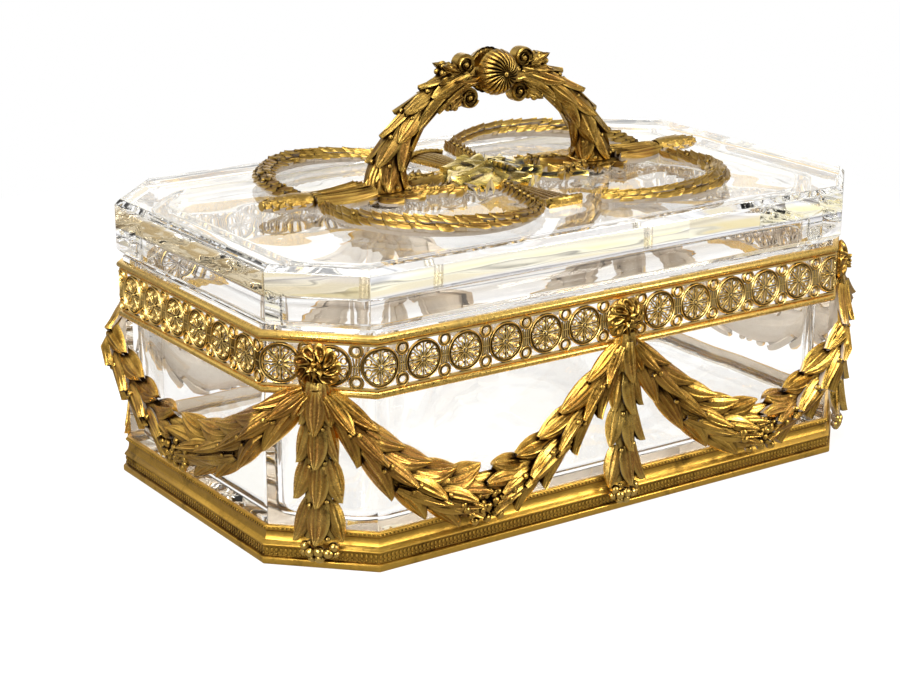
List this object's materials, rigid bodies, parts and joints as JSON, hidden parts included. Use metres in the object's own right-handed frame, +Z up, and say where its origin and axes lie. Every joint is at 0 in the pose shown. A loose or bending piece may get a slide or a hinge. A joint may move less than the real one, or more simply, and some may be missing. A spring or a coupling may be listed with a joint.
{
  "type": "glass casket box",
  "caption": "Eight-sided glass casket with a lift-off glass lid, a gilt carrying handle, and gilt swags, rosettes, fretwork and wreaths.",
  "frame": {"origin": "middle of the base, on the table", "axes": "+Z up, +X along the long sides to the right, -Y towards the front long side"},
  "size_m": [0.2812, 0.1802, 0.159],
  "materials": {
    "glass": "polished thick cut crystal",
    "gilt": "gilded bronze, bright on the high points and brown in the hollows",
    "fretwork": "pierced gilt strip, darker with age",
    "fastener": "aged turned brass"
  },
  "bodies": {
    "box": {"glass_body": "glass", "base_moulding": "gilt", "band_lower_rail": "gilt", "band_upper_rail": "gilt", "fret_right": "fretwork", "fret_corner_back_right": "fretwork", "fret_back": "fretwork", "fret_corner_back_left": "fretwork", "fret_left": "fretwork", "fret_corner_front_left": "fretwork", "fret_front": "fretwork", "fret_corner_front_right": "fretwork", "rosette_front": "gilt", "rosette_front_right": "gilt", "rosette_back_right": "gilt", "rosette_back": "gilt", "rosette_back_left": "gilt", "rosette_front_left": "gilt", "pendant_front": "gilt", "pendant_front_right": "gilt", "pendant_back_right": "gilt", "pendant_back": "gilt", "pendant_back_left": "gilt", "pendant_front_left": "gilt", "swag_front_right": "gilt", "swag_right": "gilt", "swag_back_right": "gilt", "swag_back_left": "gilt", "swag_left": "gilt", "swag_front_left": "gilt", "rosette_screws": "gilt"},
    "lid": {"glass_lid": "glass", "lid_center_leaves": "fretwork", "lid_torch_left": "gilt", "lid_torch_right": "gilt", "lid_wreath_front_left": "gilt", "lid_wreath_front_right": "gilt", "lid_wreath_back_left": "gilt", "lid_wreath_back_right": "gilt", "lid_fan_front": "gilt", "lid_fan_back": "gilt", "handle_arch": "gilt", "handle_rosette_front": "gilt", "handle_rosette_back": "gilt", "handle_studs": "fastener", "handle_washers": "fastener", "handle_nuts": "fastener"}
  },
  "joints": [
    {"name": "lid_lift", "type": "slide", "parent": "box", "child": "lid", "axis": [0, 0, 1], "range_m": [0, 0.06]}
  ]
}
